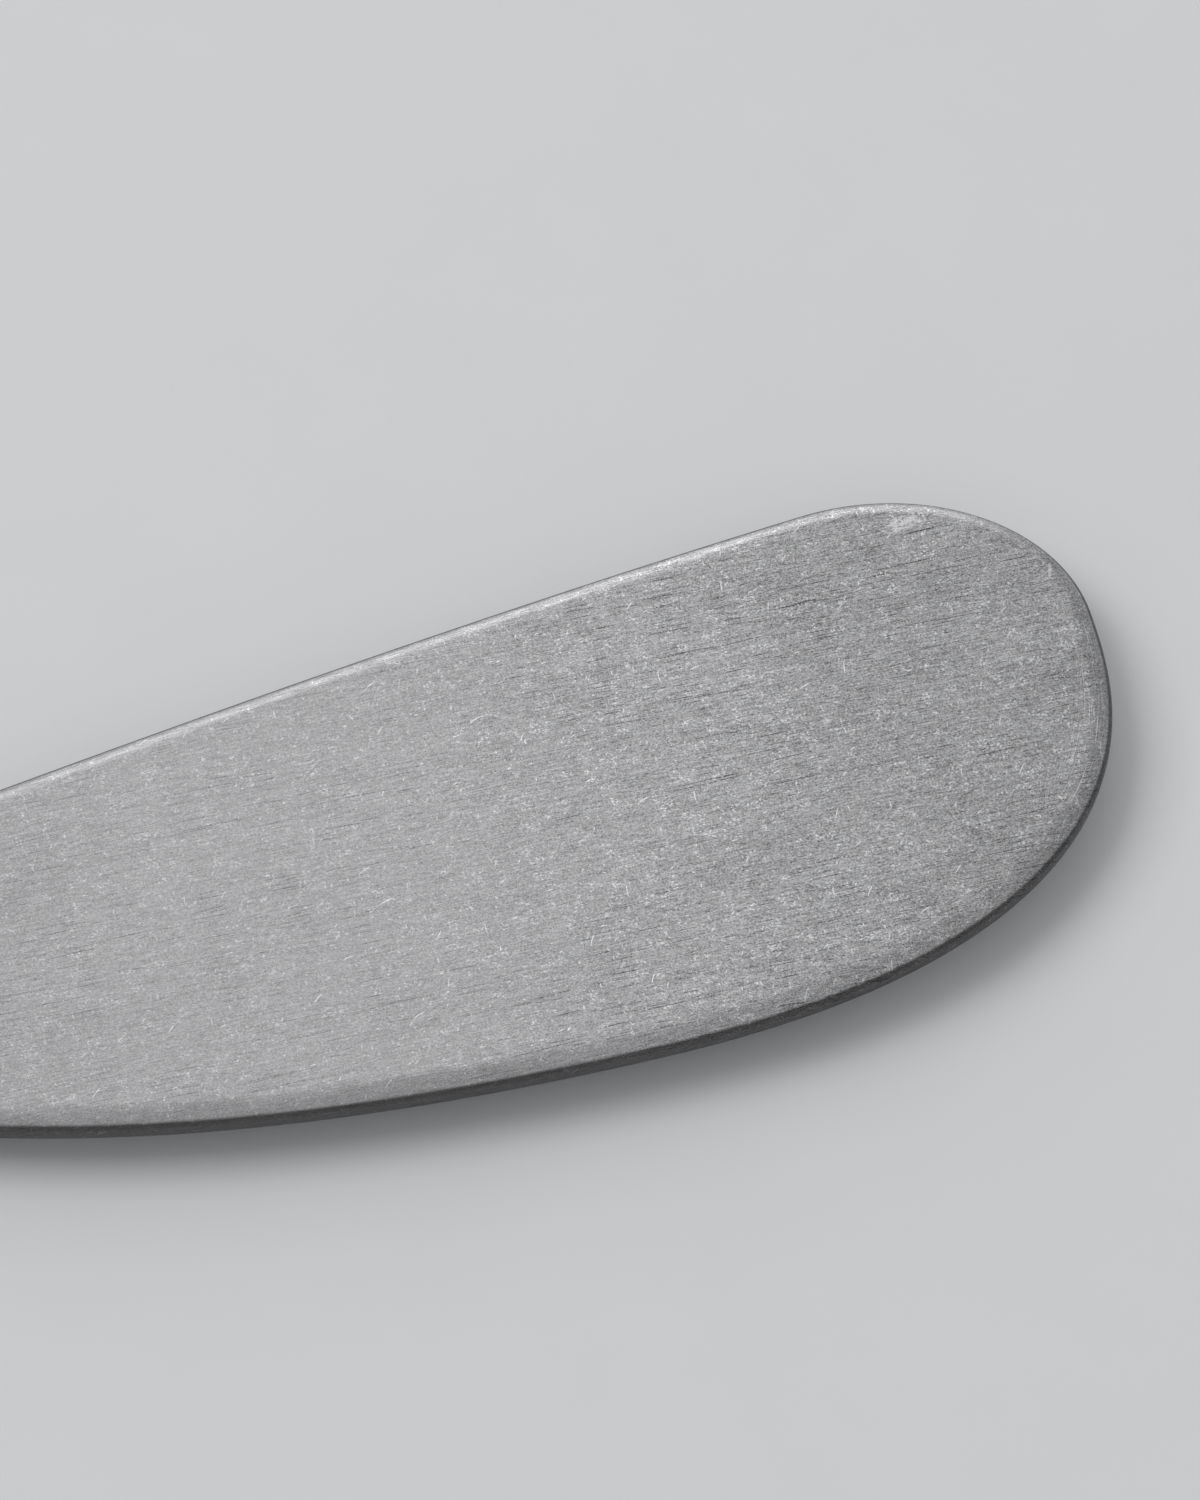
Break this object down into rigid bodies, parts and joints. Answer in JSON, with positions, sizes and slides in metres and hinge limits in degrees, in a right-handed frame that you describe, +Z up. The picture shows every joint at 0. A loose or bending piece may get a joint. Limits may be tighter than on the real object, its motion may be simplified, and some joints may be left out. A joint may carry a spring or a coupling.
{
  "type": "butter knife",
  "caption": "All-steel butter knife: a flat, round-nosed paddle blade with tumbled edges, a slim neck and a collar on a flat hollow handle.",
  "frame": {"origin": "centre of the bounding box in X and Y, at the plane the knife lies on", "axes": "+X along the knife from the butt to the tip, +Y across the blade from the belly to the spine, +Z up through the thickness"},
  "size_m": [0.172, 0.024, 0.005],
  "materials": {
    "blade_steel": "stainless steel, brushed lengthwise and then tumbled to a soft matt grey with fine random scratches",
    "handle_steel": "stainless steel, brushed lengthwise and then tumbled, as the blade",
    "braze": "pale silver braze, ground flush",
    "cement": "hard grey cutlery cement, hidden"
  },
  "bodies": {
    "root": {"blade": "blade_steel", "bolster": "handle_steel", "handle_shell_upper": "handle_steel", "handle_shell_lower": "handle_steel", "seam_braze": "braze", "collar_braze": "braze", "tang_cement": "cement"}
  },
  "joints": []
}
